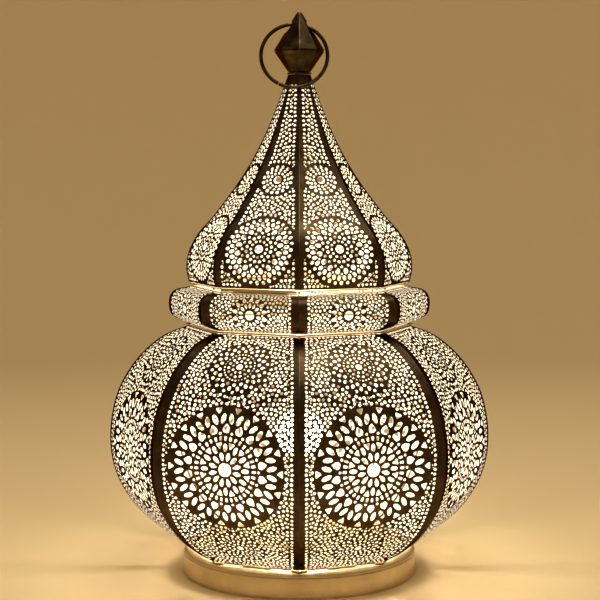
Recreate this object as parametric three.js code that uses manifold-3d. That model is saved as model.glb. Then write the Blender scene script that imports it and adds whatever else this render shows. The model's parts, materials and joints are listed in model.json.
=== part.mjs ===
// Moroccan metal lantern: an eight-sided pierced sheet body, collar and lift-off ogee roof on a round
// base, with a drilled finial, a ring handle, and a bulb and lampholder inside.
// Millimetres, +Z up, origin on the axis at the underside of the base. The eight corners of every
// octagon point along X, Y and the diagonals; one corner faces the front, -Y.
import * as THREE from 'three';
import { mergeVertices } from 'three/addons/utils/BufferGeometryUtils.js';
import Module from 'manifold-3d';

const wasm = await Module();
wasm.setup();

// Octagon
const SIDES = 8;
const HALF_SIDE_ANGLE = Math.PI / SIDES;
const FLAT = Math.cos(HALF_SIDE_ANGLE); // distance to a flat side over distance to a corner
const SHEET = 0.6; // pierced panels
const BASE_SHEET = 0.8;
const GAP = 0.3; // between pieces that touch on the real lantern
const FRONT_RIGHT = -Math.PI / 2 + HALF_SIDE_ANGLE; // azimuth of the first panel of each row

// Base
const BASE_R = 76;
const BASE_TOP_R = 75.2;
const BASE_HEM = 4.5; // width of the turned-in lower edge
const SKIRT_H = 13.1;
const SHOULDER_R = 3.2; // rounded edge of the lid that closes the skirt
const BASE_TOP = SKIRT_H + GAP + SHOULDER_R;
const ROUND_STEPS = 64;

// Body: [corner radius, height]
const BODY_OUTLINE = [
  [75.4, 18.2], [86.6, 24.6], [98.6, 33.5], [109, 44.8], [117, 58], [121.8, 72.5], [123.1, 88],
  [121.5, 103.5], [117.5, 118], [110.4, 131.3], [101.4, 142.6], [90.7, 151.8], [82.3, 156.4], [71.4, 160.1],
];
const BODY_STEPS = 26;
const BODY_REACH = 160; // further out than any panel
const FOOT_RIM = { outer: 74.6, inner: 66, bottom: BASE_TOP + GAP, top: 17.9 };
const NOTCH = { length: 13, depth: 3.5, offset: 16 }; // two in each side of the foot rim
const TOP_RIM = { outer: 73.2, inner: 63, bottom: 160.4, top: 161.4 };

// Collar: [corner radius, height]
const COLLAR_OUTLINE = [
  [70.4, 161.7], [77.3, 163.9], [82.7, 167.4], [84.2, 172.5], [84.1, 177.5], [82.2, 181.6], [78.2, 184],
  [71.4, 185],
];
const COLLAR_STEPS = 14;
const COLLAR_RIM = { outer: 71.6, inner: 67.6, bottom: 185.3, top: 185.9 };

// Roof: [corner radius, height]
const ROOF_OUTLINE = [
  [71.3, 188.4], [72.9, 197], [71.8, 206], [68.4, 214.2], [63.4, 221.8], [56.4, 229.4], [46.8, 241.8],
  [38.6, 253], [31.1, 265], [24.6, 277.2], [18.9, 289.6], [13.9, 302.2], [7.2, 320.5],
];
const ROOF_STEPS = 26;
const ROOF_RIM = { outer: 71, inner: 66.5, bottom: 187.5, top: 188.1 };
const SHOULDER = { width: 50, near: 61.5, far: 65.4, bottom: COLLAR_RIM.top + GAP };
const TONGUE = { width: 36, near: 61.45, far: 62.15, bottom: 177 };
const CROWN = { outer: 7.7, bottom: 320.8, top: 321.9 };

// Finial and ring
const FINIAL_FOOT = [7.2, 322.2];
const FINIAL_WIDEST = [16.1, 335.2];
const FINIAL_SHOULDER_Z = 336;
const FINIAL_TIP_Z = 360;
const FINIAL_TIP = [[2, 359], [1.3, 359.8], [0, FINIAL_TIP_Z]];
const STUD_R = 2;
const STUD_HOLE_R = 2.3;
const STUD_Z = [313, 344];
const RING_HOLE_Z = 350.45;
const RING_HOLE_R = 3.4;
const RING_R = 21.1;
const WIRE_R = 1.2;
const RING_HANG = 19.1; // ring's centre below the hole, along the ring's plane
const RING_SWAY = -3.2; // ring's centre to one side of the hole
const RING_LEAN = THREE.MathUtils.degToRad(17.2); // from hanging straight down to resting on the roof

// Lampholder and bulb
const NIPPLE = { r: 5, bore: 3.6, bottom: 8, top: 23 };
const NIPPLE_HOLE_R = 5.3;
const HOLDER_R = 14;
const HOLDER_WALL = 1.5;
const CUP_Z = [BASE_TOP + GAP, 28.5];
const SHELL_Z = [28.8, 57];
const SLEEVE = { r: 8.6, bore: 7.9, bottom: 33, top: 54.5 };
const BULB_CENTRE_Z = 90;
const BULB_R = 22.5;
const BULB_CAP = { r: 6.9, bottom: 36.8, top: 53 };
const GLASS_T = 0.9;
const STEM_TOP = 78;
// Lead wires and filament as one wire in the plane XZ, its arch to one side of the axis.
const FILAMENT = [
  [-0.9, 78.4], [-5.6, 84], [-8.6, 89], [-7.2, 92.3], [-4, 92.3], [-2.4, 89], [-0.4, 84], [0.9, 78.4],
];
const FILAMENT_R = 0.4;
const LAMP_STEPS = 28;

const material = (color, roughness, metalness) =>
  new THREE.MeshStandardMaterial({ color, roughness, metalness });
const MATERIALS = {
  panel: material(0x6b4f2a, 0.45, 1),
  rim: material(0xb08d4f, 0.35, 1),
  dark: material(0x3a2a18, 0.4, 1),
  steel: material(0x9a9a98, 0.4, 1),
  black: material(0x1b1b1b, 0.5, 0),
  ceramic: material(0xe9e5dc, 0.6, 0),
  brass: material(0xb5933f, 0.35, 1),
  glass: material(0xfff2d8, 0.3, 0),
};

const lantern = new THREE.Group();

// Adds a named mesh to the lantern, turned about the axis by an azimuth.
function add(name, geometry, look, azimuth = 0) {
  const mesh = new THREE.Mesh(geometry, MATERIALS[look]);
  mesh.name = name;
  mesh.rotation.z = azimuth;
  lantern.add(mesh);
  return mesh;
}

// A geometry as a solid that can be joined and cut.
function solid(geometry) {
  const bare = geometry.clone();
  bare.deleteAttribute('normal');
  bare.deleteAttribute('uv');
  const merged = mergeVertices(bare, 1e-4);
  return new wasm.Manifold(new wasm.Mesh({
    numProp: 3,
    vertProperties: merged.attributes.position.array,
    triVerts: new Uint32Array(merged.index.array),
  }));
}

// A joined or cut solid as a geometry again.
function geometryOf(manifold) {
  const mesh = manifold.getMesh();
  const geometry = new THREE.BufferGeometry();
  geometry.setAttribute('position', new THREE.BufferAttribute(mesh.vertProperties, 3));
  geometry.setIndex(new THREE.BufferAttribute(mesh.triVerts, 1));
  geometry.computeVertexNormals();
  return geometry;
}

// Turns an outline of [radius, height] points about the Z axis; 8 steps give the lantern's octagon.
function turned(outline, steps = LAMP_STEPS) {
  const points = outline.map(([r, z]) => new THREE.Vector2(r, z));
  return new THREE.LatheGeometry(points, steps).rotateX(Math.PI / 2);
}

const closed = (outline) => [...outline, outline[0]];

// A ring of rectangular section with the given corner radii.
function flatRing({ outer, inner, bottom, top }, steps = SIDES) {
  return turned(closed([[inner, bottom], [outer, bottom], [outer, top], [inner, top]]), steps);
}

// A block standing against a flat side: near and far are distances from the axis.
function block({ width, near, far, bottom, top }, azimuth, along = 0) {
  return new THREE.BoxGeometry(far - near, width, top - bottom)
    .translate((near + far) / 2, along, (bottom + top) / 2)
    .rotateZ(azimuth);
}

const sideAzimuth = (index) => FRONT_RIGHT + (index * 2 * Math.PI) / SIDES;

// A polygonal prism along Z with its corners at radius r.
function prism(sides, r, bottom, top) {
  return new THREE.CylinderGeometry(r, r, top - bottom, sides)
    .rotateX(Math.PI / 2)
    .translate(0, 0, (bottom + top) / 2);
}

// A hexagon nut with a round bore.
function nut(corner, bore, bottom, top) {
  const hole = solid(prism(20, bore, bottom - 1, top + 1));
  return geometryOf(solid(prism(6, corner, bottom, top)).subtract(hole));
}

// ---- Panels ----

const pointsOf = (curve, steps) => curve.getPoints(steps).map((p) => [p.x, p.y]);

function splineOutline(points, steps) {
  const curve = new THREE.SplineCurve(points.map(([r, z]) => new THREE.Vector2(r, z)));
  return pointsOf(curve, steps);
}

// The outline moved inwards by the sheet's thickness, at right angles to itself.
function insideOf(outline) {
  return outline.map(([r, z], i) => {
    const [r0, z0] = outline[Math.max(i - 1, 0)];
    const [r1, z1] = outline[Math.min(i + 1, outline.length - 1)];
    const length = Math.hypot(r1 - r0, z1 - z0);
    return [r - (SHEET * (z1 - z0)) / length, z + (SHEET * (r1 - r0)) / length];
  });
}

// The space between two neighbouring seams, less half a gap on each side.
function wedge(reach, height) {
  const apex = GAP / 2 / Math.sin(HALF_SIDE_ANGLE);
  const halfWidth = (reach - apex) * Math.tan(HALF_SIDE_ANGLE);
  const shape = new THREE.Shape([
    new THREE.Vector2(apex, 0),
    new THREE.Vector2(reach, -halfWidth),
    new THREE.Vector2(reach, halfWidth),
  ]);
  return solid(new THREE.ExtrudeGeometry(shape, { depth: height, bevelEnabled: false }));
}

// One sheet panel, facing +X: flat across, following the corner outline up, mitred at both seams.
function panel(cornerOutline) {
  const outside = cornerOutline.map(([r, z]) => [r * FLAT, z]);
  const section = [...outside, ...insideOf(outside).reverse()];
  const shape = new THREE.Shape(section.map(([r, z]) => new THREE.Vector2(r, z)));
  const width = BODY_REACH;
  const strip = new THREE.ExtrudeGeometry(shape, { depth: width, bevelEnabled: false })
    .translate(0, 0, -width / 2)
    .rotateX(Math.PI / 2);
  return geometryOf(solid(strip).intersect(wedge(BODY_REACH, FINIAL_TIP_Z)));
}

function addPanels(row, cornerOutline) {
  const geometry = panel(cornerOutline);
  for (let i = 0; i < SIDES; i += 1) add(`${row}_panel_${i + 1}`, geometry, 'panel', sideAzimuth(i));
}

// ---- Base ----

function addBase() {
  const skirt = turned(closed([
    [BASE_R - BASE_HEM, 0], [BASE_R - 0.4, 0], [BASE_R, 0.4], [BASE_TOP_R, SKIRT_H],
    [BASE_TOP_R - BASE_HEM, SKIRT_H], [BASE_TOP_R - BASE_HEM, SKIRT_H - BASE_SHEET],
    [BASE_TOP_R - BASE_SHEET, SKIRT_H - BASE_SHEET], [BASE_R - BASE_SHEET, BASE_SHEET],
    [BASE_R - BASE_HEM, BASE_SHEET],
  ]), ROUND_STEPS);
  const cableHole = new THREE.CylinderGeometry(4.2, 4.2, 8, 20).translate(0, BASE_R, 6.2);
  add('base_skirt', geometryOf(solid(skirt).subtract(solid(cableHole))), 'rim');

  // The lid stands on the skirt's turned-in top edge and has a rounded shoulder.
  const shoulder = (r) => pointsOf(
    new THREE.EllipseCurve(BASE_TOP_R - SHOULDER_R, SKIRT_H + GAP, r, r, 0, Math.PI / 2),
    6,
  );
  add('base_plate', turned(closed([
    ...shoulder(SHOULDER_R), [NIPPLE_HOLE_R, BASE_TOP], [NIPPLE_HOLE_R, BASE_TOP - BASE_SHEET],
    ...shoulder(SHOULDER_R - BASE_SHEET).reverse(),
  ]), ROUND_STEPS), 'rim');

  // Grommet: two flanges with a groove that takes the skirt's wall, on an axis along Y.
  const wall = BASE_R - 0.75;
  const grommet = new THREE.LatheGeometry(closed([
    [2.4, wall - 3.4], [5, wall - 3.4], [5, wall - 1.5], [3.8, wall - 1.5], [3.8, wall + 0.95],
    [5.2, wall + 0.95], [4.6, wall + 2.2], [2.4, wall + 2.2],
  ]).map(([r, y]) => new THREE.Vector2(r, y)), 20).translate(0, 0, 6.2);
  add('cable_grommet', grommet, 'black');
}

// ---- Rims ----

function addRims() {
  let foot = solid(flatRing(FOOT_RIM));
  const reach = FOOT_RIM.outer * FLAT;
  const notch = {
    width: NOTCH.length,
    near: reach - NOTCH.depth,
    far: reach + NOTCH.depth,
    bottom: FOOT_RIM.bottom - GAP,
    top: FOOT_RIM.top + GAP,
  };
  for (let i = 0; i < SIDES; i += 1) {
    for (const along of [-NOTCH.offset, NOTCH.offset]) {
      foot = foot.subtract(solid(block(notch, sideAzimuth(i), along)));
    }
  }
  add('body_foot_rim', geometryOf(foot), 'rim');
  add('body_top_rim', flatRing(TOP_RIM), 'rim');
  add('collar_top_rim', flatRing(COLLAR_RIM), 'rim');

  // The roof stands on two opposite shoulders, and a tongue below each one drops inside the collar.
  let roofRim = solid(flatRing(ROOF_RIM));
  for (const azimuth of [sideAzimuth(3), sideAzimuth(7)]) {
    const top = (ROOF_RIM.bottom + ROOF_RIM.top) / 2;
    roofRim = roofRim.add(solid(block({ ...SHOULDER, top }, azimuth)));
    roofRim = roofRim.add(solid(block({ ...TONGUE, top }, azimuth)));
  }
  add('roof_rim', geometryOf(roofRim), 'rim');
}

// ---- Finial and ring ----

function addFinial() {
  add('roof_crown', flatRing({ ...CROWN, inner: STUD_HOLE_R }), 'dark');

  const [footR, footZ] = FINIAL_FOOT;
  const [widestR, widestZ] = FINIAL_WIDEST;
  add('finial_lower', turned(closed([
    [STUD_HOLE_R, footZ], [footR, footZ], [widestR, widestZ], [STUD_HOLE_R, widestZ],
  ]), SIDES), 'dark');

  const upper = turned([
    [0, STUD_Z[1] + GAP], [STUD_HOLE_R, STUD_Z[1] + GAP], [STUD_HOLE_R, widestZ + GAP],
    [widestR, widestZ + GAP], [widestR, FINIAL_SHOULDER_Z], ...FINIAL_TIP,
  ], SIDES);
  const ringHole = new THREE.CylinderGeometry(RING_HOLE_R, RING_HOLE_R, 2 * widestR, 24)
    .rotateZ(Math.PI / 2)
    .translate(0, 0, RING_HOLE_Z);
  add('finial_upper', geometryOf(solid(upper).subtract(solid(ringHole))), 'dark');

  add('finial_stud', prism(12, STUD_R, STUD_Z[0], STUD_Z[1]), 'steel');
  const nutTop = CROWN.bottom - GAP;
  add('finial_nut', nut(4, STUD_HOLE_R, nutTop - 3.2, nutTop), 'steel');

  // The ring's own plane is XZ before it leans forward about the hole's axis.
  const ring = new THREE.TorusGeometry(RING_R, WIRE_R, 8, 48)
    .rotateX(Math.PI / 2)
    .translate(RING_SWAY, 0, -RING_HANG)
    .rotateX(-RING_LEAN)
    .translate(0, 0, RING_HOLE_Z);
  add('ring_handle', ring, 'dark');
}

// ---- Lampholder ----

function addLampholder() {
  const { r, bore, bottom, top } = NIPPLE;
  add('lamp_nipple', flatRing({ outer: r, inner: bore, bottom, top }, 20), 'steel');
  const nutTop = BASE_TOP - BASE_SHEET - GAP;
  add('nipple_nut', nut(8, NIPPLE_HOLE_R, nutTop - 3.5, nutTop), 'steel');

  const inside = HOLDER_R - HOLDER_WALL;
  const [cupBottom, cupTop] = CUP_Z;
  add('lampholder_cup', turned(closed([
    [NIPPLE_HOLE_R, cupBottom], [HOLDER_R - 2.5, cupBottom], [HOLDER_R, cupBottom + 2.5],
    [HOLDER_R, cupTop], [inside, cupTop], [inside, cupBottom + 3], [inside - 1.5, cupBottom + HOLDER_WALL],
    [NIPPLE_HOLE_R, cupBottom + HOLDER_WALL],
  ])), 'ceramic');

  const [shellBottom, shellTop] = SHELL_Z;
  const mouth = SLEEVE.r + GAP;
  add('lampholder_shell', turned(closed([
    [inside, shellBottom], [HOLDER_R, shellBottom], [HOLDER_R, shellTop - 2], [HOLDER_R - 1.2, shellTop],
    [mouth, shellTop], [mouth, shellTop - HOLDER_WALL], [inside, shellTop - HOLDER_WALL],
  ])), 'ceramic');

  const insert = { outer: inside - GAP, inner: 2, bottom: 30.2, top: 32.7 };
  add('lampholder_insert', flatRing(insert, 20), 'ceramic');
  add('lampholder_sleeve', flatRing({ ...SLEEVE, outer: SLEEVE.r, inner: SLEEVE.bore }, LAMP_STEPS), 'brass');
  add('lampholder_contact', turned([[0, 33], [3.4, 33], [3.4, 33.6], [0, 34.2]], 16), 'brass');
}

// ---- Bulb ----

function glassOutline() {
  const neckR = BULB_CAP.r - GAP;
  const neckAngle = -Math.PI / 2 + 0.42; // where the neck leaves the round part
  const round = (r) => pointsOf(
    new THREE.EllipseCurve(0, BULB_CENTRE_Z, r, r, neckAngle, Math.PI / 2),
    14,
  );
  const outside = [[neckR, BULB_CAP.top + GAP], ...round(BULB_R)];
  const inside = [[neckR - GLASS_T, BULB_CAP.top + GAP], ...round(BULB_R - GLASS_T)];
  outside[outside.length - 1][0] = 0;
  inside[inside.length - 1][0] = 0;
  return [...inside.reverse(), ...outside];
}

function addBulb() {
  const { r, bottom, top } = BULB_CAP;
  add('bulb_tip', turned([[0, 34.5], [1.6, 34.6], [2.6, 36.5], [0, 36.5]], 16), 'steel');
  add('bulb_cap', turned([[0, bottom], [4.2, bottom], [r, bottom + 2.6], [r, top], [0, top]]), 'brass');
  add('bulb_glass', turned(glassOutline()), 'glass');
  const stemFoot = top + GAP;
  add('bulb_stem', turned([
    [0, stemFoot], [4, stemFoot], [2.4, stemFoot + 10], [1.6, STEM_TOP], [0, STEM_TOP],
  ], 12), 'glass');
  const wire = new THREE.CatmullRomCurve3(FILAMENT.map(([x, z]) => new THREE.Vector3(x, 0, z)));
  const section = new THREE.Shape(pointsOf(new THREE.EllipseCurve(0, 0, FILAMENT_R, FILAMENT_R), 8)
    .slice(0, -1)
    .map(([x, y]) => new THREE.Vector2(x, y)));
  add('bulb_filament', new THREE.ExtrudeGeometry(section, { steps: 28, extrudePath: wire }), 'steel');
}

addBase();
addRims();
addPanels('body', splineOutline(BODY_OUTLINE, BODY_STEPS));
addPanels('collar', splineOutline(COLLAR_OUTLINE, COLLAR_STEPS));
addPanels('roof', splineOutline(ROOF_OUTLINE, ROOF_STEPS));
addFinial();
addLampholder();
addBulb();

export default lantern;
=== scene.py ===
"""Moroccan metal lantern: pierced sheet panels, rims, finial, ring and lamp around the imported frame."""
import json
import math
import random

import bmesh
import bpy
import numpy as np
from mathutils import Matrix, Vector
from mathutils.geometry import delaunay_2d_cdt

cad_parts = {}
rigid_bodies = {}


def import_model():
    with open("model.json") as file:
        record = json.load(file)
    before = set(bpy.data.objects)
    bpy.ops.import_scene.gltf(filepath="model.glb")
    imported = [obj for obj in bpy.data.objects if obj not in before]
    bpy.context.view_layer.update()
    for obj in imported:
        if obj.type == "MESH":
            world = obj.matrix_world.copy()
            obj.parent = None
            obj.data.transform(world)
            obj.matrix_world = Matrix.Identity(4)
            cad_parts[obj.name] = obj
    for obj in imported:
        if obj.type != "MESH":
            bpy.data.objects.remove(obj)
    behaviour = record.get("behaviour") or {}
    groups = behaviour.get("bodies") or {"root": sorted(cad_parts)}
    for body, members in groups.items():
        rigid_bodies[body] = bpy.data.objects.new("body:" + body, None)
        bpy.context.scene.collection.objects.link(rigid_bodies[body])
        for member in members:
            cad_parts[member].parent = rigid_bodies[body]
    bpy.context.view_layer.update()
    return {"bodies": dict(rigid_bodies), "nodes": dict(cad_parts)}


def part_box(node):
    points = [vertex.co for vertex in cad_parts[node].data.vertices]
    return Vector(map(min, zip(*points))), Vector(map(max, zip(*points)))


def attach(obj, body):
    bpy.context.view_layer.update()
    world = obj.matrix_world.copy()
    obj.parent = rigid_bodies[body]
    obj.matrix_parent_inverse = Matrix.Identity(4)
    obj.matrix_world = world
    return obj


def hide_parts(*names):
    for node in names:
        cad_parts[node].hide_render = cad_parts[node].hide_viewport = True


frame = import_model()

MM = 0.001
SIDES = 8
HALF_SIDE = math.pi / SIDES
SHEET = 0.3 * MM  # pierced sheet
INSET = 0.02 * MM  # its outer face, inside the solid panels
INSIDE_PAINTED_GLOW = 0.78  # painted glow: emission of the raw inside, standing in for the light that floods it
ROUND_STEPS = 128


# ---- Stage, lights and camera ----

CAMERA_AT = (0.00045, -1.0, 0.2644)
CAMERA_DOWN = math.radians(5.03)
CAMERA_LENS = 93.3


def make_camera():
    data = bpy.data.cameras.new("camera")
    data.lens = CAMERA_LENS
    camera = bpy.data.objects.new("camera", data)
    camera.location = CAMERA_AT
    camera.rotation_euler = (math.pi / 2 - CAMERA_DOWN, 0, 0)
    bpy.context.scene.collection.objects.link(camera)
    bpy.context.scene.camera = camera


def add_area(name, at, size, power, colour):
    data = bpy.data.lights.new(name, "AREA")
    data.shape = "DISK"
    data.size = size
    data.energy = power
    data.color = colour
    light = bpy.data.objects.new(name, data)
    light.location = at
    target = Vector((0, 0, 0.17))
    light.rotation_euler = (target - Vector(at)).to_track_quat("-Z", "Y").to_euler()
    bpy.context.scene.collection.objects.link(light)


def make_stage():
    """A round cove: a pale floor that curves up into a wall far behind every view."""
    radius, fillet, height = 1.7, 0.6, 2.4
    outline = [(0.0, 0.0), (0.6, 0.0), (radius - fillet, 0.0)]
    for i in range(1, 13):
        a = math.pi / 2 * i / 12
        outline.append((radius - fillet + fillet * math.sin(a), fillet - fillet * math.cos(a)))
    outline.append((radius, height))
    cove = turned("floor", outline, 96, closed=False)
    cove.data.materials.append(plain_material("floor_paint", (0.72, 0.58, 0.35), 0.8))

    world = bpy.data.worlds.new("studio")
    bpy.context.scene.world = world
    world.use_nodes = True
    background = world.node_tree.nodes["Background"]
    background.inputs["Color"].default_value = (1.0, 0.62, 0.30, 1)
    background.inputs["Strength"].default_value = 0.07
    add_area("overhead", (0.1, -0.1, 1.5), 1.0, 17, (1.0, 0.88, 0.66))


# ---- Materials ----

def plain_material(name, colour, roughness):
    material = bpy.data.materials.new(name)
    material.use_nodes = True
    shader = material.node_tree.nodes["Principled BSDF"]
    shader.inputs["Base Color"].default_value = (*colour, 1)
    shader.inputs["Roughness"].default_value = roughness
    return material


class Nodes:
    """Short calls for building a node tree around one Principled shader."""

    def __init__(self, name):
        self.material = bpy.data.materials.new(name)
        self.material.use_nodes = True
        self.tree = self.material.node_tree
        self.shader = self.tree.nodes["Principled BSDF"]
        self.place = self.tree.nodes.new("ShaderNodeTexCoord").outputs["Object"]

    def node(self, kind, inputs=None, **settings):
        made = self.tree.nodes.new(kind)
        for key, value in settings.items():
            setattr(made, key, value)
        for key, value in (inputs or {}).items():
            self.feed(made.inputs[key], value)
        return made

    def feed(self, socket, value):
        if isinstance(value, bpy.types.NodeSocket):
            self.tree.links.new(value, socket)
        else:
            socket.default_value = value

    def set(self, **inputs):
        for key, value in inputs.items():
            self.feed(self.shader.inputs[key.replace("_", " ")], value)

    def noise(self, scale, detail=3.0, rough=0.55, stretch=None, offset=0.0):
        place = self.place
        if stretch or offset:
            move = self.node("ShaderNodeMapping", {"Vector": place})
            move.inputs["Scale"].default_value = stretch or (1, 1, 1)
            move.inputs["Location"].default_value = (offset, offset, offset)
            place = move.outputs["Vector"]
        made = self.node(
            "ShaderNodeTexNoise",
            {"Vector": place, "Scale": scale, "Detail": detail, "Roughness": rough},
        )
        return made.outputs["Fac"]

    def ramp(self, fac, stops):
        made = self.node("ShaderNodeValToRGB", {"Fac": fac})
        elements = made.color_ramp.elements
        while len(elements) < len(stops):
            elements.new(0.5)
        for element, (at, colour) in zip(elements, stops):
            element.position = at
            element.color = (*colour, 1)
        return made.outputs["Color"]

    def range(self, value, low, high, to_low, to_high):
        made = self.node(
            "ShaderNodeMapRange",
            {"Value": value, "From Min": low, "From Max": high, "To Min": to_low, "To Max": to_high},
        )
        return made.outputs["Result"]

    def bump(self, height, distance, strength=0.5):
        made = self.node(
            "ShaderNodeBump", {"Height": height, "Distance": distance, "Strength": strength}
        )
        self.set(Normal=made.outputs["Normal"])

    def math(self, operation, a, b):
        made = self.node("ShaderNodeMath", operation=operation)
        self.feed(made.inputs[0], a)
        self.feed(made.inputs[1], b)
        return made.outputs[0]


def brass(name, dark, middle, light, roughness, blotch=90.0, grain=(1, 1, 14), edge=(1, 1, 1),
          relief=0.35):
    """Lacquered brass: a blotchy patina over fine brushing, in the colours given; some looks darken
    them to paint in shade. edge tints its glancing reflections, and relief is the strength of its bumps."""
    n = Nodes(name)
    patina = n.noise(blotch, 5.0, 0.6)
    colour = n.ramp(patina, [(0.3, dark), (0.52, middle), (0.74, light)])
    brushed = n.noise(900.0, 2.0, 0.6, stretch=grain, offset=3.0)
    smear = n.noise(45.0, 4.0, 0.6, offset=7.0)
    rough = n.math("ADD", n.range(smear, 0.3, 0.7, roughness - 0.09, roughness + 0.12),
                   n.range(brushed, 0.3, 0.7, -0.03, 0.03))
    n.set(Base_Color=colour, Metallic=1.0, Roughness=rough, Specular_Tint=(*edge, 1))
    height = n.math("ADD", n.math("MULTIPLY", brushed, 0.5), n.noise(220.0, 3.0, 0.55, offset=1.0))
    n.bump(height, 0.00012, relief)
    return n.material


def inner_metal_painted_glow():
    """The unlacquered inside of the sheet and the cut edges of its holes, with an emission that paints in
    the light that floods them.
    """
    n = Nodes("raw_inside_painted_glow")
    colour = n.ramp(n.noise(60.0, 4.0), [(0.3, (0.38, 0.33, 0.24)), (0.7, (0.46, 0.41, 0.31))])
    n.set(Base_Color=colour, Metallic=0.1, Roughness=n.range(n.noise(300.0), 0.3, 0.7, 0.5, 0.7))
    n.set(Emission_Color=(1.0, 0.90, 0.70, 1), Emission_Strength=INSIDE_PAINTED_GLOW)
    n.bump(n.noise(400.0), 0.0001, 0.3)
    return n.material


def moulded(name, colour, lighter, roughness, grain=1500.0):
    n = Nodes(name)
    n.set(
        Base_Color=n.ramp(n.noise(120.0), [(0.35, colour), (0.7, lighter)]),
        Roughness=n.range(n.noise(200.0, offset=2.0), 0.3, 0.7, roughness - 0.06, roughness + 0.08),
    )
    n.bump(n.noise(grain, 2.0), 0.00006, 0.4)
    return n.material


def zinc():
    n = Nodes("zinc_steel")
    spangle = n.node("ShaderNodeTexVoronoi", {"Vector": n.place, "Scale": 500.0}).outputs["Color"]
    grey = n.node("ShaderNodeRGBToBW", {"Color": spangle}).outputs["Val"]
    n.set(
        Base_Color=n.ramp(grey, [(0.1, (0.42, 0.42, 0.41)), (0.9, (0.62, 0.62, 0.6))]),
        Metallic=1.0,
        Roughness=n.range(n.noise(300.0), 0.3, 0.7, 0.3, 0.45),
    )
    n.bump(n.noise(800.0), 0.00005, 0.3)
    return n.material


def clear_glass():
    n = Nodes("bulb_clear_glass")
    dust = n.noise(180.0, 4.0)
    n.set(
        Base_Color=n.ramp(dust, [(0.4, (0.96, 0.95, 0.92)), (0.8, (1.0, 0.97, 0.9))]),
        Roughness=n.range(dust, 0.35, 0.8, 0.02, 0.12),
    )
    n.shader.inputs["Transmission Weight"].default_value = 1.0
    n.shader.inputs["IOR"].default_value = 1.45
    n.bump(n.noise(60.0, 2.0), 0.0001, 0.15)
    return n.material


def glowing_wire():
    n = Nodes("hot_filament")
    heat = n.ramp(n.noise(800.0), [(0.3, (1.0, 0.62, 0.25)), (0.7, (1.0, 0.8, 0.5))])
    n.set(Base_Color=heat, Roughness=n.range(n.noise(900.0), 0.3, 0.7, 0.4, 0.6))
    n.set(Emission_Color=heat)
    n.shader.inputs["Emission Strength"].default_value = 900.0
    return n.material


# ---- Mesh helpers ----

def link(name, mesh, *materials):
    made = bpy.data.objects.new(name, mesh)
    for material in materials:
        mesh.materials.append(material)
    bpy.context.scene.collection.objects.link(made)
    return made


def smooth(mesh, angle=35.0):
    mesh.shade_smooth()
    mesh.set_sharp_from_angle(angle=math.radians(angle))


def turned(name, outline, steps=ROUND_STEPS, closed=True, start=-math.pi / 2):
    """Turns a list of (radius, z) about the Z axis. A closed outline is a loop, unless it starts
    and ends on the axis."""
    verts, faces, rows = [], [], []
    for r, z in outline:
        if r < 1e-9:
            rows.append([len(verts)] * steps)
            verts.append((0.0, 0.0, z))
            continue
        rows.append(list(range(len(verts), len(verts) + steps)))
        for k in range(steps):
            a = start + 2 * math.pi * k / steps
            verts.append((r * math.cos(a), r * math.sin(a), z))
    on_axis = outline[0][0] < 1e-9 and outline[-1][0] < 1e-9
    pairs = list(zip(rows, rows[1:]))
    if closed and not on_axis:
        pairs.append((rows[-1], rows[0]))
    for low, high in pairs:
        for k in range(steps):
            j = (k + 1) % steps
            corners = dict.fromkeys((low[k], low[j], high[j], high[k]))
            if len(corners) > 2:
                faces.append(tuple(corners))
    mesh = bpy.data.meshes.new(name)
    mesh.from_pydata(verts, [], faces)
    smooth(mesh)
    return link(name, mesh)


def softened(node, name, bevel, segments=3):
    """A copy of a CAD node with its flat faces whole again and its edges rounded."""
    mesh = frame["nodes"][node].data.copy()
    mesh.materials.clear()
    bm = bmesh.new()
    bm.from_mesh(mesh)
    bmesh.ops.remove_doubles(bm, verts=bm.verts, dist=1e-6)
    bmesh.ops.dissolve_limit(
        bm, angle_limit=math.radians(1.5), verts=bm.verts, edges=bm.edges
    )
    bm.to_mesh(mesh)
    bm.free()
    made = link(name, mesh)
    rounding = made.modifiers.new("round", "BEVEL")
    rounding.width = bevel
    rounding.segments = segments
    rounding.limit_method = "ANGLE"
    rounding.angle_limit = math.radians(20)
    rounding.harden_normals = True
    mesh.shade_smooth()
    mesh.set_sharp_from_angle(angle=math.radians(20))
    return made


def finish_piece(piece, material, body, slot, *nodes):
    if not piece.data.materials:
        piece.data.materials.append(material)
    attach(piece, body)
    if nodes:
        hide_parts(*nodes)
    return piece


# ---- The eight-sided outlines, read from the frame ----

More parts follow.
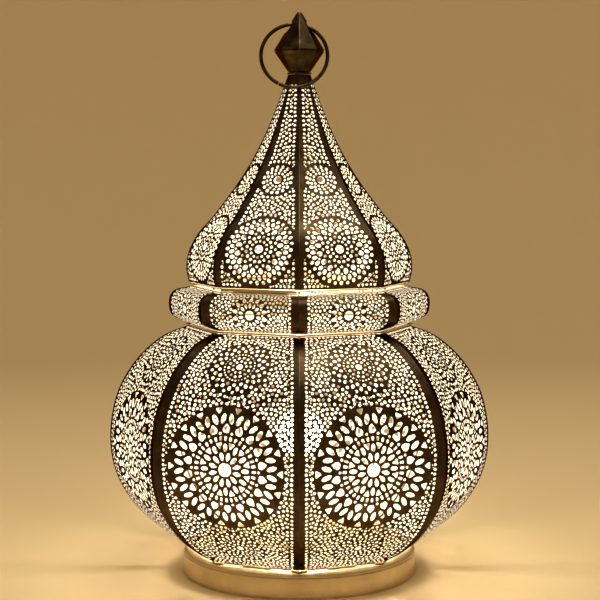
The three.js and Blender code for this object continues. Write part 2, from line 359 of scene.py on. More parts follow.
class Outline:
    """The outer face of one row of panels: a smooth line in the plane through a panel's middle,
    measured along its length, as distance from the axis and height."""

    def __init__(self, row):
        points = self.outer_points(f"{row}_panel_1")
        t = np.concatenate([[0], np.cumsum(np.hypot(*np.diff(points, axis=0).T))])
        dense = np.linspace(0, t[-1], 1200)
        a, z = (self.spline(t, points[:, i], dense) for i in (0, 1))
        s = np.concatenate([[0], np.cumsum(np.hypot(np.diff(a), np.diff(z)))])
        self.s, self.a, self.z = s, a, z
        self.length = s[-1]
        da, dz = np.gradient(a, s), np.gradient(z, s)
        size = np.hypot(da, dz)
        self.na, self.nz = dz / size, -da / size

    @staticmethod
    def outer_points(node):
        """Corner points of the CAD panel's outer face. Each has an inner partner, one sheet away;
        the outer one is the one further from the middle of the row."""
        co = np.array([v.co for v in frame["nodes"][node].data.vertices])
        azimuth = azimuth_of(node)
        a = co[:, 0] * math.cos(azimuth) + co[:, 1] * math.sin(azimuth)
        flat = []
        for p in np.column_stack([a, co[:, 2]]):
            if not flat or np.hypot(*(np.array(flat) - p).T).min() > 0.1 * MM:
                flat.append(p)
        flat = np.array(flat)
        middle = np.array([0.0, flat[:, 1].mean()])
        if node.startswith("roof"):
            middle[1] = flat[:, 1].min() + 20 * MM
        outer = []
        for i, p in enumerate(flat):
            gaps = np.hypot(*(flat - p).T)
            gaps[i] = 1
            partner = flat[gaps.argmin()]
            if np.hypot(*(p - middle)) > np.hypot(*(partner - middle)):
                outer.append(p)
        outer = np.array(outer)
        return outer[outer[:, 1].argsort()]

    @staticmethod
    def spline(t, v, at):
        """Cubic through the points with slopes from their neighbours."""
        slope = np.gradient(v, t)
        i = np.clip(np.searchsorted(t, at, side="right") - 1, 0, len(t) - 2)
        h = t[i + 1] - t[i]
        u = (at - t[i]) / h
        u2, u3 = u * u, u * u * u
        return (
            (2 * u3 - 3 * u2 + 1) * v[i]
            + (u3 - 2 * u2 + u) * h * slope[i]
            + (3 * u2 - 2 * u3) * v[i + 1]
            + (u3 - u2) * h * slope[i + 1]
        )

    def at_height(self, z):
        """Length along the outline where it passes height z."""
        return float(np.interp(z, self.z, self.s))

    def half_width(self, y):
        """Half the side's width at length y, to the corner of the octagon."""
        return np.interp(y, self.s, self.a) * math.tan(HALF_SIDE)

    def surface(self, xy, depth=0.0):
        """Points of the flat pattern as points on a panel that faces +X, some depth below its face."""
        x, y = xy[:, 0], xy[:, 1]
        a = np.interp(y, self.s, self.a)
        inner = a - depth * np.interp(y, self.s, self.na)
        z = np.interp(y, self.s, self.z) - depth * np.interp(y, self.s, self.nz)
        return np.column_stack([inner, x * inner / a, z])


# ---- Hole shapes, pointing outwards from a medallion's centre along +u ----

STEP = 0.55 * MM


def steps_for(length):
    return int(min(26, max(9, round(length / STEP))))


def oval(length, width):
    n = steps_for(1.6 * (length + width))
    t = np.arange(n) * 2 * np.pi / n
    return np.column_stack([length / 2 * np.cos(t), width / 2 * np.sin(t)])


def dot(diameter):
    return oval(diameter, diameter)


def drop(length, width, point=0.42):
    """Rounded at the inner end, narrowing outwards."""
    n = steps_for(1.6 * (length + width))
    t = np.arange(n) * 2 * np.pi / n
    return np.column_stack([length / 2 * np.cos(t), width / 2 * np.sin(t) * (1 - point * np.cos(t))])


def rounded(corners, radius, steps=3):
    """A convex polygon with arcs at its corners."""
    points = []
    corners = [np.array(c, float) for c in corners]
    for i, c in enumerate(corners):
        before = corners[i - 1] - c
        after = corners[(i + 1) % len(corners)] - c
        before, after = before / np.hypot(*before), after / np.hypot(*after)
        half = math.acos(np.clip(before @ after, -1, 1)) / 2
        reach = radius / math.tan(half)
        centre = c + (before + after) / np.hypot(*(before + after)) * radius / math.sin(half)
        start, end = c + before * reach - centre, c + after * reach - centre
        a0, a1 = math.atan2(start[1], start[0]), math.atan2(end[1], end[0])
        turn = (a1 - a0 + math.pi) % (2 * math.pi) - math.pi
        for k in range(steps + 1):
            a = a0 + turn * k / steps
            points.append(centre + radius * np.array([math.cos(a), math.sin(a)]))
    return np.array(points)


def fan(length, width):
    """A triangle with its point inwards."""
    half = length / 2
    return rounded([(-half, 0), (half, -width / 2), (half, width / 2)], 0.1 * width)


def brick(length, width):
    """A bar, a little wider at its outer end."""
    half = length / 2
    return rounded(
        [(-half, -width * 0.42), (half, -width / 2), (half, width / 2), (-half, width * 0.42)],
        0.3 * width,
    )


def leaf(length, width):
    """Widest past its middle, with a narrow inner end and a blunt outer one."""
    half = length / 2
    side = [(-half, width * 0.1), (-half * 0.3, width * 0.42), (half * 0.25, width / 2),
            (half * 0.85, width * 0.3), (half, width * 0.08)]
    return rounded([(x, -y) for x, y in side] + side[::-1], 0.06 * width, 1)


def shield(length, width):
    """Broad at the inner end, with a point outwards."""
    half = length / 2
    side = [(-half, width * 0.3), (-half * 0.45, width / 2), (half * 0.15, width * 0.42)]
    return rounded([(x, -y) for x, y in side] + [(half, 0)] + side[::-1], 0.09 * width, 2)


# ---- Pierced pattern ----

END_EDGE = 1.1 * MM  # plain metal above and below the holes
LAND = 0.38 * MM  # the least metal between two dots
GROUND_TRIES = 24000  # places tried for the dots of the ground
SMALL_TRIES = 9000  # and for the small dots between them


class Pattern:
    """The holes of one panel, in the flat: x across from the middle line, y along the outline."""

    def __init__(self, outline, left=((0, 0),), right=((0, 0),), seed=0):
        self.outline = outline
        self.left, self.right = left, right  # (height, width) of the plain strips beside the seams
        self.random = random.Random(seed)
        self.holes = []
        self.dots = []  # (x, y, radius) of every dot of the ground
        self.medallions = []  # (x, y, radius) kept clear of the ground

    def span(self, y):
        """The lowest and highest x that holes may reach at y."""
        half = float(self.outline.half_width(y))
        z = np.interp(y, self.outline.s, self.outline.z)
        left, right = (float(np.interp(z, *zip(*strip))) for strip in (self.left, self.right))
        return left - half, half - right

    def mirrored(self):
        """The same holes, seen from the other side of the sheet."""
        twin = Pattern(self.outline)
        twin.holes = [(hole * (-1, 1))[::-1] for hole in self.holes]
        return twin

    def add(self, shape, x, y, angle=0.0, slack=0.0):
        shake = self.random.uniform
        angle += shake(-0.035, 0.035)
        size = shake(0.97, 1.03)
        turn = np.array([[math.cos(angle), math.sin(angle)], [-math.sin(angle), math.cos(angle)]])
        points = size * shape @ turn + (x, y)
        low, high = points.min(0), points.max(0)
        span = self.span(y)
        if low[0] < span[0] - slack or high[0] > span[1] + slack:
            return False
        if low[1] < END_EDGE or high[1] > self.outline.length - END_EDGE:
            return False
        self.holes.append(points)
        return True

    def ring(self, centre, count, radius, shape, phase=0.0, tilt=0.0):
        """count copies of a shape round a centre; phase is a share of one step. A medallion may
        reach a little into the plain strips."""
        for k in range(count):
            a = 2 * math.pi * (k + phase) / count + math.pi / 2
            x = centre[0] + radius * math.cos(a)
            y = centre[1] + radius * math.sin(a)
            self.add(shape, x, y, a + tilt, 1.4 * MM)

    def centre_hole(self, centre, diameter):
        n = 32
        t = np.arange(n) * 2 * np.pi / n
        self.holes.append(diameter / 2 * np.column_stack([np.cos(t), np.sin(t)]) + centre)

    def free(self, x, y, radius, land):
        """True if a dot fits between the plain strips, clear of medallions and other dots."""
        low, high = self.span(y)
        if x - radius < low or x + radius > high:
            return False
        if y - radius < END_EDGE or y + radius > self.outline.length - END_EDGE:
            return False
        if any(math.hypot(x - mx, y - my) < mr + radius for mx, my, mr in self.medallions):
            return False
        if not self.dots:
            return True
        d = np.array(self.dots)
        return bool((np.hypot(d[:, 0] - x, d[:, 1] - y) - d[:, 2] - radius > land).all())

    def try_dot(self, x, y, diameter, land):
        if not self.free(x, y, diameter / 2, land):
            return False
        wobble = self.random.uniform
        shape = oval(diameter * wobble(0.96, 1.12), diameter * wobble(0.9, 1.02))
        if not self.add(shape, x, y, wobble(0, math.pi), 0.2 * MM):
            return False
        self.dots.append((x, y, diameter / 2))
        return True

    def edge_rows(self, diameter, pitch):
        """Uneven lines of dots along both seams and along the two ends."""
        shake = self.random.uniform
        for end in (0, 1):
            y = END_EDGE + diameter / 2 + 0.1 * MM
            if end:
                y = self.outline.length - y
            low, high = self.span(y)
            count = max(1, int((high - low) / pitch))
            for k in range(count):
                x = low + (k + 0.5) * (high - low) / count
                self.try_dot(x, y + (1 - 2 * end) * shake(0, 0.25) * MM, diameter, LAND)
        y = END_EDGE + 1.6 * diameter
        while y < self.outline.length - 2 * diameter:
            for side, x in zip((1, -1), self.span(y)):
                self.try_dot(x + side * (diameter / 2 + shake(0.02, 0.5) * MM), y, diameter, LAND)
            y += pitch * shake(0.95, 1.25)

    def ground(self, diameter, small, land):
        """Packs what is left with dots, from the medallions outwards, then small ones between."""
        wide = float(self.outline.half_width(self.outline.s).max())
        shake = self.random.uniform
        spots = [(shake(-wide, wide), shake(0, self.outline.length)) for _ in range(GROUND_TRIES)]
        spots.sort(key=lambda p: min(math.hypot(p[0] - x, p[1] - y) - r for x, y, r in self.medallions))
        for x, y in spots:
            self.try_dot(x, y, diameter, land)
        for _ in range(SMALL_TRIES):
            x, y = shake(-wide, wide), shake(0, self.outline.length)
            self.try_dot(x, y, small * shake(0.85, 1.25), LAND)


def body_pattern(outline):
    narrow = [(0, 3.4 * MM)]
    wide = [(0.022, 1.8 * MM), (0.031, 2.9 * MM), (0.044, 4.3 * MM), (0.062, 5.7 * MM)]
    p = Pattern(outline, narrow, wide, 11)
    main = (0.0, outline.at_height(0.086))
    p.medallions.append((*main, 38.0 * MM))
    p.centre_hole(main, 8.1 * MM)
    p.ring(main, 12, 7.9 * MM, leaf(4.9 * MM, 2.7 * MM), 0.5)
    p.ring(main, 12, 13.1 * MM, oval(4.8 * MM, 2.5 * MM))
    p.ring(main, 12, 14.1 * MM, fan(4.1 * MM, 4.1 * MM), 0.5)
    p.ring(main, 36, 18.5 * MM, brick(2.5 * MM, 1.6 * MM))
    p.ring(main, 18, 21.6 * MM, dot(1.6 * MM), 0.5)
    p.ring(main, 18, 24.6 * MM, shield(5.5 * MM, 4.7 * MM))
    lean = math.radians(15)
    for side in (-1, 1):
        p.ring(main, 18, 30.1 * MM, oval(6.3 * MM, 2.9 * MM), side * 0.245, -side * lean)
    p.ring(main, 18, 34.9 * MM, fan(3.9 * MM, 4.8 * MM), 0.5)

    upper = (0.0, outline.at_height(0.144))
    p.medallions.append((*upper, 19.4 * MM))
    p.centre_hole(upper, 3.9 * MM)
    p.ring(upper, 9, 4.2 * MM, dot(1.55 * MM))
    p.ring(upper, 14, 6.9 * MM, dot(1.7 * MM), 0.25)
    p.ring(upper, 29, 9.5 * MM, dot(0.95 * MM), 0.5)
    p.ring(upper, 18, 12.4 * MM, dot(2.1 * MM))
    p.ring(upper, 18, 15.0 * MM, oval(2.7 * MM, 2.1 * MM), 0.5)
    p.ring(upper, 18, 17.3 * MM, dot(1.9 * MM))

    lower = (0.0, outline.at_height(0.0345))
    p.medallions.append((*lower, 15.4 * MM))
    p.centre_hole(lower, 4.0 * MM)
    p.ring(lower, 10, 4.4 * MM, oval(1.9 * MM, 1.5 * MM))
    p.ring(lower, 14, 7.2 * MM, dot(1.8 * MM), 0.25)
    p.ring(lower, 24, 9.6 * MM, dot(1.1 * MM))
    p.ring(lower, 19, 11.7 * MM, oval(2.3 * MM, 1.8 * MM), 0.5)
    p.ring(lower, 19, 13.9 * MM, dot(1.7 * MM))

    p.edge_rows(1.8 * MM, 2.7 * MM)
    p.ground(1.85 * MM, 0.85 * MM, 0.7 * MM)
    return p


def collar_pattern(outline):
    p = Pattern(outline, [(0, 5.0 * MM)], [(0, 5.4 * MM)], 23)
    centre = (0.0, outline.at_height(0.1733))
    p.medallions.append((*centre, 11.9 * MM))
    p.centre_hole(centre, 5.7 * MM)
    p.ring(centre, 14, 5.9 * MM, leaf(2.9 * MM, 1.8 * MM))
    p.ring(centre, 14, 8.2 * MM, dot(1.1 * MM), 0.5)
    p.ring(centre, 14, 10.0 * MM, drop(3.4 * MM, 2.2 * MM))
    p.edge_rows(1.7 * MM, 2.6 * MM)
    p.ground(1.7 * MM, 0.85 * MM, 0.62 * MM)
    return p


def roof_pattern(outline):
    top = [(0.312, 1.1 * MM), (0.3145, 1.3 * MM), (0.3155, 9 * MM)]
    p = Pattern(outline, [(0.27, 2.7 * MM), *top], [(0.27, 3.6 * MM), *top], 37)
    big = (0.0, outline.at_height(0.2125))
    p.medallions.append((*big, 24.0 * MM))
    p.centre_hole(big, 5.3 * MM)
    p.ring(big, 12, 5.3 * MM, dot(1.6 * MM))
    p.ring(big, 16, 8.2 * MM, dot(1.95 * MM), 0.5)
    p.ring(big, 16, 11.1 * MM, dot(1.7 * MM))
    p.ring(big, 16, 13.9 * MM, oval(3.7 * MM, 2.9 * MM), 0.5)
    p.ring(big, 16, 15.4 * MM, dot(1.2 * MM))
    for side in (-1, 1):
        p.ring(big, 16, 17.9 * MM, oval(3.3 * MM, 2.3 * MM), 0.5 + side * 0.25, -side * 0.2)
    p.ring(big, 16, 20.9 * MM, oval(2.7 * MM, 2.2 * MM))
    p.ring(big, 16, 21.2 * MM, dot(2.1 * MM), 0.5)

    small = (0.0, outline.at_height(0.254))
    p.medallions.append((*small, 12.2 * MM))
    p.centre_hole(small, 5.2 * MM)
    p.ring(small, 12, 4.9 * MM, dot(1.6 * MM))
    p.ring(small, 14, 7.2 * MM, dot(1.85 * MM), 0.25)
    p.ring(small, 16, 9.3 * MM, dot(2.1 * MM), 0.5)

    p.edge_rows(1.75 * MM, 2.7 * MM)
    p.ground(1.95 * MM, 0.9 * MM, 0.76 * MM)
    return p


# ---- Pierced sheet ----

SEAM_HALF_GAP = 0.15 * MM
PLAIN_STEP = 2.2 * MM  # spacing of mesh points on plain metal


def border_of(outline):
    """The flat panel's edge, anticlockwise."""
    ys = np.linspace(0, outline.length, int(outline.length / (1.2 * MM)))
    half = outline.half_width(ys) - SEAM_HALF_GAP / math.cos(HALF_SIDE)
    left = np.column_stack([-half, ys])[::-1]
    right = np.column_stack([half, ys])
    across = []
    for y, half_width, way in ((0.0, half[0], 1), (outline.length, half[-1], -1)):
        xs = np.linspace(-half_width, half_width, max(3, int(half_width / MM)))[1:-1][::way]
        across.append(np.column_stack([xs, np.full(len(xs), y)]))
    return np.concatenate([across[0], right, across[1], left])


def plain_points(outline, holes):
    """A grid of points on the metal between holes, so that flat mesh pieces follow the curve."""
    hole_points = np.concatenate(holes)
    cell = 0.8 * MM
    taken = {(int(x // cell), int(y // cell)) for x, y in hole_points}
    boxes = [(h.min(0), h.max(0)) for h in holes if (h.max(0) - h.min(0)).max() > 2.6 * MM]
    points = []
    for y in np.arange(PLAIN_STEP / 2, outline.length, PLAIN_STEP):
        half = float(outline.half_width(y)) - 0.9 * MM
        for x in np.arange(-half, half, PLAIN_STEP):
            i, j = int(x // cell), int(y // cell)
            near = any((i + di, j + dj) in taken for di in (-1, 0, 1) for dj in (-1, 0, 1))
            if near or any((lo < (x, y)).all() and (hi > (x, y)).all() for lo, hi in boxes):
                continue
            points.append((x, y))
    return np.array(points).reshape(-1, 2)


def pierced_mesh(name, pattern):
    """One panel as a closed sheet with real holes, facing +X."""
    outline = pattern.outline
    loops = [border_of(outline), *pattern.holes]
    verts, edges, owner = [], [], []
    for index, loop in enumerate(loops):
        base = len(verts)
        verts.extend(Vector(p) for p in loop)
        edges.extend((base + k, base + (k + 1) % len(loop)) for k in range(len(loop)))
        owner.extend([index] * len(loop))
    extra = plain_points(outline, pattern.holes)
    verts.extend(Vector(p) for p in extra)
    owner.extend([-1] * len(extra))

    flat, _, faces, sources, _, _ = delaunay_2d_cdt(verts, edges, [], 1, 1e-9, True)
    flat = np.array([tuple(v) for v in flat])
    own = [owner[s[0]] if s else -1 for s in sources]
    faces = np.array(faces)
    owners = np.array(own)[faces]
    whole = (owners == owners[:, :1]).all(1)
    middle = flat[faces].mean(1)
    outside = np.abs(middle[:, 0]) > outline.half_width(middle[:, 1]) - SEAM_HALF_GAP
    kept = faces[~(whole & ((owners[:, 0] > 0) | ((owners[:, 0] == 0) & outside)))]
    a, b, c = flat[kept[:, 0]], flat[kept[:, 1]], flat[kept[:, 2]]
    area = (b[:, 0] - a[:, 0]) * (c[:, 1] - a[:, 1]) - (b[:, 1] - a[:, 1]) * (c[:, 0] - a[:, 0])
    kept[area < 0] = kept[area < 0][:, ::-1]
    kept = kept[np.abs(area) > 1e-14]

    directed = {}
    for i, j, k in kept:
        for e in ((i, j), (j, k), (k, i)):
            directed[e] = True
    walls = [(i, j) for i, j in directed if (j, i) not in directed]
    # The panel's own border is outside metal, and the edge of a hole is raw like the inside and carries the
    # same painted glow.
    cut_edge = [0 if own[i] == own[j] == 0 else 1 for i, j in walls]
    n = len(flat)
    outer, inner = outline.surface(flat, INSET), outline.surface(flat, INSET + SHEET)
    polygons = [tuple(f) for f in kept]
    polygons += [tuple(n + v for v in f[::-1]) for f in kept]
    polygons += [(j, i, n + i, n + j) for i, j in walls]
    mesh = bpy.data.meshes.new(name)
    mesh.from_pydata([*map(tuple, outer), *map(tuple, inner)], [], [tuple(map(int, f)) for f in polygons])
    mesh.polygons.foreach_set("material_index", [0] * len(kept) + [1] * len(kept) + cut_edge)
    mesh.validate()
    smooth(mesh, 40)
    return mesh


def azimuth_of(node):
    """The direction that a panel faces, from its corner points, which lie evenly about it."""
    co = np.array([v.co for v in frame["nodes"][node].data.vertices])
    return math.atan2(co[:, 1].mean(), co[:, 0].mean())


def seam_bead(name, outline):
    """Solder along one corner of the octagon, from the foot of a row to its top, facing +X."""
    steps, sides = max(24, int(outline.length / (1.6 * MM))), 10
    radius, sink = 0.85 * MM, 0.98 * MM
    verts, faces = [], []
    for i in range(steps + 1):
        s = outline.length * i / steps
        a, z, na, nz = (
            float(np.interp(s, outline.s, v)) for v in (outline.a, outline.z, outline.na, outline.nz)
        )
        corner = Vector((a / math.cos(HALF_SIDE), 0, z))
        normal = Vector((na, 0, nz * math.cos(HALF_SIDE))).normalized()
        side = Vector((0, 1, 0))
        end = 0.6 if i in (0, steps) else 1.0
        for k in range(sides):
            t = 2 * math.pi * k / sides
            lump = 1 + 0.05 * math.sin(s * 2900 + 2 * math.sin(s * 700))
            offset = normal * math.cos(t) + side * math.sin(t)
            verts.append(corner - normal * sink + offset * radius * end * lump)
    for i in range(steps):
        for k in range(sides):
            j = (k + 1) % sides
            faces.append((i * sides + k, i * sides + j, (i + 1) * sides + j, (i + 1) * sides + k))
    faces.append(tuple(range(sides))[::-1])
    faces.append(tuple(range(steps * sides, (steps + 1) * sides)))
    mesh = bpy.data.meshes.new(name)
    mesh.from_pydata([tuple(v) for v in verts], [], faces)
    bm = bmesh.new()
    bm.from_mesh(mesh)
    bmesh.ops.recalc_face_normals(bm, faces=bm.faces)
    bm.to_mesh(mesh)
    bm.free()
    smooth(mesh, 50)
    return mesh


def make_panels(looks):
    rows = (
        ("body", "root", body_pattern),
        ("collar", "root", collar_pattern),
        ("roof", "roof", roof_pattern),
    )
    for row, body, pattern_of in rows:
        outline = Outline(row)
        pattern = pattern_of(outline)
        sheets = [
            pierced_mesh(f"{row}_sheet", pattern),
            pierced_mesh(f"{row}_sheet_back", pattern.mirrored()),
        ]
        for mesh in sheets:
            mesh.materials.append(looks["panel"])
            mesh.materials.append(looks["inside"])
        bead = seam_bead(f"{row}_bead", outline)
        bead.materials.append(looks["solder"])
        for i in range(1, SIDES + 1):
            node = f"{row}_panel_{i}"
            azimuth = azimuth_of(node)
            panel = link(f"{node}_pierced", sheets[(i + 1) % 2])
            panel.rotation_euler.z = azimuth
            finish_piece(panel, None, body, "pierced_brass", node)
            seam = link(f"{row}_seam_{i}", bead)
            seam.rotation_euler.z = azimuth + HALF_SIDE
            finish_piece(seam, None, body, "satin_brass")


# ---- Base and rims ----

def make_base(looks):
    lo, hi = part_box("base_skirt")
    foot, height = hi.x, hi.z
    top = foot - 0.8 * MM
    hem, sheet = 4.5 * MM, 0.8 * MM
    bead = 0.55 * MM
    outline = [(foot - hem, 0.05 * MM), (foot - hem + 0.4 * MM, 0)]
    for k in range(7):  # rolled lower edge
        a = -math.pi / 2 + math.pi * k / 6
        outline.append((foot - bead + bead * math.cos(a), bead + bead * math.sin(a)))
    outline += [(foot - 0.42 * MM, 1.25 * MM), (foot - 0.5 * MM, height * 0.5)]
    for k in range(5):  # turned upper edge
        a = math.pi / 2 * k / 4
        outline.append((top - 0.6 * MM + 0.6 * MM * math.cos(a), height - 0.6 * MM + 0.6 * MM * math.sin(a)))
    outline += [(top - hem, height), (top - hem, height - sheet), (top - sheet, height - sheet),
                (foot - sheet - 0.4 * MM, sheet), (foot - hem, sheet)]
    skirt = turned("base_skirt_spun", outline, 160)
    cut_round_hole(skirt, (0, foot, 6.2 * MM), 4.2 * MM)
    finish_piece(skirt, looks["satin"], "root", "satin_brass", "base_skirt")

    lo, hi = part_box("base_plate")
    shoulder = hi.z - lo.z
    centre = hi.x - shoulder

    def arc(radius):
        return [(centre + radius * math.cos(a), lo.z + radius * math.sin(a))
                for a in (math.pi / 2 * k / 14 for k in range(15))]

    lid = turned("base_plate_spun", [
        *arc(shoulder), (5.3 * MM, hi.z), (5.3 * MM, hi.z - sheet), *arc(shoulder - sheet)[::-1],
    ], 160)
    finish_piece(lid, looks["satin"], "root", "satin_brass", "base_plate")

    grommet = softened("cable_grommet", "cable_grommet_moulded", 0.35 * MM)
    finish_piece(grommet, looks["black"], "root", "black_plastic", "cable_grommet")


def cut_round_hole(piece, at, radius):
    """Cuts a round hole along Y."""
    bpy.ops.mesh.primitive_cylinder_add(
        vertices=40, radius=radius, depth=8 * MM, location=at, rotation=(math.pi / 2, 0, 0)
    )
    cutter = bpy.context.object
    cut = piece.modifiers.new("hole", "BOOLEAN")
    cut.object = cutter
    cut.operation = "DIFFERENCE"
    depsgraph = bpy.context.evaluated_depsgraph_get()
    mesh = bpy.data.meshes.new_from_object(piece.evaluated_get(depsgraph))
    piece.modifiers.clear()
    piece.data = mesh
    smooth(mesh, 30)
    bpy.data.objects.remove(cutter)


def make_rims(looks):
    for node, body, look in (
        ("body_foot_rim", "root", "satin"), ("body_top_rim", "root", "satin"),
        ("collar_top_rim", "root", "satin"), ("roof_rim", "roof", "satin"), ("roof_crown", "roof", "dark"),
    ):
        piece = softened(node, f"{node}_edged", 0.18 * MM)
        finish_piece(piece, looks[look], body, f"{look}_brass", node)


# ---- Finial and ring ----

def make_finial(looks):
    lower = softened("finial_lower", "finial_lower_cast", 0.45 * MM)
    finish_piece(lower, looks["dark"], "roof", "dark_brass", "finial_lower")
    upper = softened("finial_upper", "finial_upper_cast", 0.45 * MM)
    finish_piece(upper, looks["dark"], "roof", "dark_brass", "finial_upper")


def make_ring(looks):
    """A bent wire with its two ends butted together."""
    co = np.array([v.co for v in frame["nodes"]["ring_handle"].data.vertices])
    centre = (co.max(0) + co.min(0)) / 2
    _, _, axes = np.linalg.svd(co - co.mean(0), full_matrices=False)
    normal = axes[2]
    centre = centre + normal * ((co.mean(0) - centre) @ normal)
    across = np.cross(normal, (0, 1, 0))
    across /= np.linalg.norm(across)
    up = np.cross(normal, across)
    far = np.hypot((co - centre) @ across, (co - centre) @ up)
    radius, wire = (far.max() + far.min()) / 2, (far.max() - far.min()) / 2
    steps, sides = 150, 18
    gap = 0.012  # radians between the ends
    start = math.radians(118)
    verts, faces = [], []
    for i in range(steps + 1):
        a = start + gap + (2 * math.pi - 2 * gap) * i / steps
        out = across * math.cos(a) + up * math.sin(a)
        end = 0.82 if i in (0, steps) else 1.0
        for k in range(sides):
            t = 2 * math.pi * k / sides
            round_wire = out * math.cos(t) + normal * math.sin(t)
            verts.append(tuple(centre + out * radius + wire * end * round_wire))
    for i in range(steps):
        for k in range(sides):
            j = (k + 1) % sides
            faces.append((i * sides + k, i * sides + j, (i + 1) * sides + j, (i + 1) * sides + k))
    faces.append(tuple(range(sides))[::-1])
    faces.append(tuple(range(steps * sides, (steps + 1) * sides)))
    mesh = bpy.data.meshes.new("ring_wire")
    mesh.from_pydata(verts, [], faces)
    bm = bmesh.new()
    bm.from_mesh(mesh)
    bmesh.ops.recalc_face_normals(bm, faces=bm.faces)
    bm.to_mesh(mesh)
    bm.free()
    smooth(mesh, 50)
    ring = link("ring_wire", mesh)
    finish_piece(ring, looks["dark"], "ring", "dark_brass", "ring_handle")


# ---- Lampholder and bulb ----

def threaded(name, r, low, high, pitch, depth, top_r, bottom_r):
    """A cap with rounded thread rolls between two ends."""
    outline = [(0, low), (bottom_r, low)]
    count = int((high - low - 4 * MM) / pitch)
    z0 = low + 2.2 * MM
    for k in range(count * 8 + 1):
        z = z0 + pitch * k / 8
        outline.append((r - depth / 2 + depth / 2 * math.cos(2 * math.pi * k / 8), z))
    outline += [(top_r, high - 0.6 * MM), (top_r, high), (0, high)]
    return turned(name, outline, 64)


def make_lamp(looks):
    lo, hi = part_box("lampholder_cup")
    r, wall = hi.x, 1.5 * MM
    inside = r - wall
    cup = turned("lampholder_cup_moulded", [
        (5.3 * MM, lo.z), (r - 3 * MM, lo.z), (r - 1.2 * MM, lo.z + 0.7 * MM),
        (r - 0.2 * MM, lo.z + 2.2 * MM), (r, lo.z + 3.6 * MM), (r, hi.z - 0.3 * MM),
        (r - 0.3 * MM, hi.z), (inside, hi.z),
        (inside, lo.z + 3.4 * MM), (inside - 1.5 * MM, lo.z + wall), (5.3 * MM, lo.z + wall),
    ], 64)
    finish_piece(cup, looks["ceramic"], "root", "white_ceramic", "lampholder_cup")

    lo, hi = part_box("lampholder_shell")
    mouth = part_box("lampholder_sleeve")[1].x + 0.3 * MM
    outline = [(inside, lo.z), (r, lo.z)]
    for k in range(9):  # grip ribs round the lower half
        z = lo.z + (3 + 1.5 * k) * MM
        outline += [(r, z), (r - 0.45 * MM, z + 0.4 * MM), (r - 0.45 * MM, z + 0.8 * MM), (r, z + 1.2 * MM)]
    outline += [(r, hi.z - 2 * MM), (r - 0.35 * MM, hi.z - 0.8 * MM), (r - 1.2 * MM, hi.z), (mouth, hi.z),
                (mouth, hi.z - wall), (inside, hi.z - wall)]
    shell = turned("lampholder_shell_moulded", outline, 64)
    finish_piece(shell, looks["ceramic"], "root", "white_ceramic", "lampholder_shell")

    lo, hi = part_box("lampholder_sleeve")
    sleeve_r = hi.x
    outer, inner = [], []
    for k in range(29):
        z = lo.z + (hi.z - lo.z) * k / 28
        wave = 0.12 * MM * math.cos(2 * math.pi * k / 4)
        outer.append((sleeve_r - 0.14 * MM + wave, z))
        inner.append((sleeve_r - 0.5 * MM + wave, z))
    sleeve = turned("lampholder_sleeve_rolled", outer + inner[::-1], 64)
    finish_piece(sleeve, looks["contact"], "root", "contact_brass", "lampholder_sleeve")

    lo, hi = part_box("bulb_cap")
    cap = threaded("bulb_cap_rolled", hi.x, lo.z, hi.z, 2.2 * MM, 0.7 * MM, hi.x, 4.2 * MM)
    finish_piece(cap, looks["contact"], "bulb", "contact_brass", "bulb_cap")
    make_bulb_glass(looks)
    make_filament(looks)
    light_inside()


def make_bulb_glass(looks):
    lo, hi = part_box("bulb_glass")
    ball = hi.x
    centre = hi.z - ball
    wall = 0.7 * MM
    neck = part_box("bulb_cap")[1].x - 0.4 * MM

    def half(shrink):
        r = ball - shrink
        points = [(neck - shrink, lo.z)]
        for k in range(1, 8):  # the neck flows into the ball
            t = k / 8
            ease = t * t * (3 - 2 * t)
            a = -math.pi / 2 + 0.42
            end = (r * math.cos(a), centre + r * math.sin(a))
            points.append((neck - shrink + (end[0] - neck + shrink) * ease, lo.z + (end[1] - lo.z) * t))
        for k in range(25):
            a = -math.pi / 2 + 0.42 + (math.pi - 0.42) * k / 24
            points.append((max(0.0, r * math.cos(a)) if k < 24 else 0.0, centre + r * math.sin(a)))
        return points

    glass = turned("bulb_glass_blown", half(wall)[::-1] + half(0.0), 96)
    glass.visible_shadow = False
    finish_piece(glass, looks["glass"], "bulb", "clear_glass", "bulb_glass")


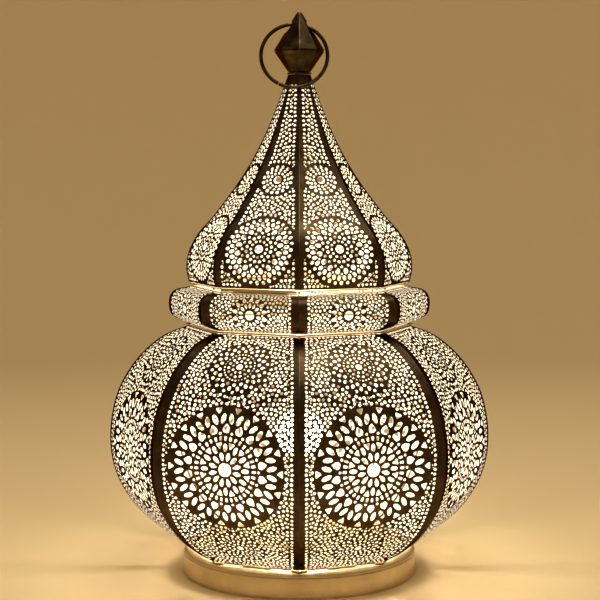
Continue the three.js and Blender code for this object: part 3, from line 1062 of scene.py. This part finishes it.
def make_filament(looks):
    """The glowing coil at the top of the lead wires."""
    lo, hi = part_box("bulb_filament")
    middle = Vector(((lo.x - 2.4 * MM) / 2, 0, hi.z - 1.3 * MM))
    length, turns, coil_r, wire_r = 5.6 * MM, 14, 0.42 * MM, 0.12 * MM
    curve = bpy.data.curves.new("coil", "CURVE")
    curve.dimensions = "3D"
    curve.bevel_depth = wire_r
    curve.bevel_resolution = 2
    curve.use_fill_caps = True
    spline = curve.splines.new("POLY")
    count = turns * 12
    spline.points.add(count)
    for k in range(count + 1):
        t = k / count
        a = 2 * math.pi * turns * t
        x = middle.x + length * (t - 0.5)
        z = middle.z + 0.8 * MM * math.sin(math.pi * t)
        spline.points[k].co = (x, coil_r * math.cos(a), z + coil_r * math.sin(a), 1)
    coil = bpy.data.objects.new("filament_coil", curve)
    bpy.context.scene.collection.objects.link(coil)
    finish_piece(coil, looks["hot"], "bulb", "zinc_steel")

    leads = bpy.data.curves.new("leads", "CURVE")
    leads.dimensions = "3D"
    leads.bevel_depth = 0.22 * MM
    leads.bevel_resolution = 3
    leads.use_fill_caps = True
    for side, foot in ((-1, -0.9 * MM), (1, 0.9 * MM)):
        wire = leads.splines.new("POLY")
        wire.points.add(10)
        end = Vector((middle.x + side * length / 2, 0, middle.z))
        for k in range(11):
            t = k / 10
            bow = -math.sin(math.pi * t) * 1.2 * MM
            x = foot + (end.x - foot) * t + bow
            z = lo.z + (end.z - lo.z) * t
            wire.points[k].co = (x, 0, z, 1)
    pair = bpy.data.objects.new("filament_leads", leads)
    bpy.context.scene.collection.objects.link(pair)
    finish_piece(pair, looks["zinc"], "bulb", "zinc_steel", "bulb_filament")


def light_inside():
    """The bulb's light, from a ball wider than its glass, and a weaker light up in the roof."""
    add_glow("filament_light", (0, 0, 90 * MM), 30 * MM, 2.6, "bulb")
    add_glow("roof_glow", (0, 0, 212 * MM), 18 * MM, 0.5, "roof")


def add_glow(name, at, radius, power, body):
    """A soft warm light inside the lantern."""
    data = bpy.data.lights.new(name, "POINT")
    data.energy = power
    data.color = (1.0, 0.86, 0.66)
    data.shadow_soft_size = radius
    light = bpy.data.objects.new(name, data)
    light.location = at
    light.visible_camera = False
    bpy.context.scene.collection.objects.link(light)
    light.parent = frame["bodies"][body]


def dress_cad_nodes(looks):
    """CAD nodes whose shape is already right get a finished material."""
    kept = {
        "finial_stud": "zinc", "finial_nut": "zinc", "lamp_nipple": "zinc", "nipple_nut": "zinc",
        "bulb_tip": "contact", "bulb_stem": "glass", "lampholder_insert": "ceramic",
        "lampholder_contact": "contact",
    }
    for node, look in kept.items():
        piece = frame["nodes"][node]
        piece.data.materials.clear()
        piece.data.materials.append(looks[look])
    frame["nodes"]["bulb_stem"].visible_shadow = False


def make_looks():
    return {
        # painted shade: the panels' gold brass darkened to near black, with a dark tint on its glancing
        # reflections, for metal in shade round the lit holes
        "panel": brass("pierced_brass", (0.04, 0.027, 0.015), (0.07, 0.047, 0.027), (0.13, 0.09, 0.054),
                       0.38, edge=(0.3, 0.2, 0.12)),
        "satin": brass("satin_brass", (0.54, 0.44, 0.27), (0.61, 0.50, 0.32), (0.68, 0.575, 0.385),
                       0.38, blotch=60.0, relief=0.12),
        # painted shade: the gold brass darkened to near black for the crown, finial and ring, with a tint
        # that darkens its glancing reflections
        "dark": brass("dark_brass", (0.03, 0.021, 0.013), (0.055, 0.038, 0.022), (0.15, 0.10, 0.055), 0.26,
                      blotch=120.0, edge=(0.5, 0.38, 0.25)),
        # painted shade: the seam beads darkened to near black like the panels
        "solder": brass("seam_solder_painted_shade", (0.05, 0.036, 0.022), (0.09, 0.065, 0.04), (0.18, 0.13, 0.08), 0.34,
                        blotch=200.0),
        "contact": brass("contact_brass", (0.5, 0.37, 0.15), (0.62, 0.48, 0.22), (0.7, 0.56, 0.3), 0.3),
        "inside": inner_metal_painted_glow(),
        "black": moulded("black_plastic", (0.018, 0.017, 0.016), (0.03, 0.029, 0.027), 0.42),
        "ceramic": moulded("white_ceramic", (0.72, 0.69, 0.62), (0.8, 0.77, 0.7), 0.5, 900.0),
        "zinc": zinc(),
        "glass": clear_glass(),
        "hot": glowing_wire(),
    }


looks = make_looks()
bpy.context.scene.view_settings.view_transform = "Standard"
make_camera()
make_stage()
make_base(looks)
make_rims(looks)
make_panels(looks)
make_finial(looks)
make_ring(looks)
make_lamp(looks)
dress_cad_nodes(looks)
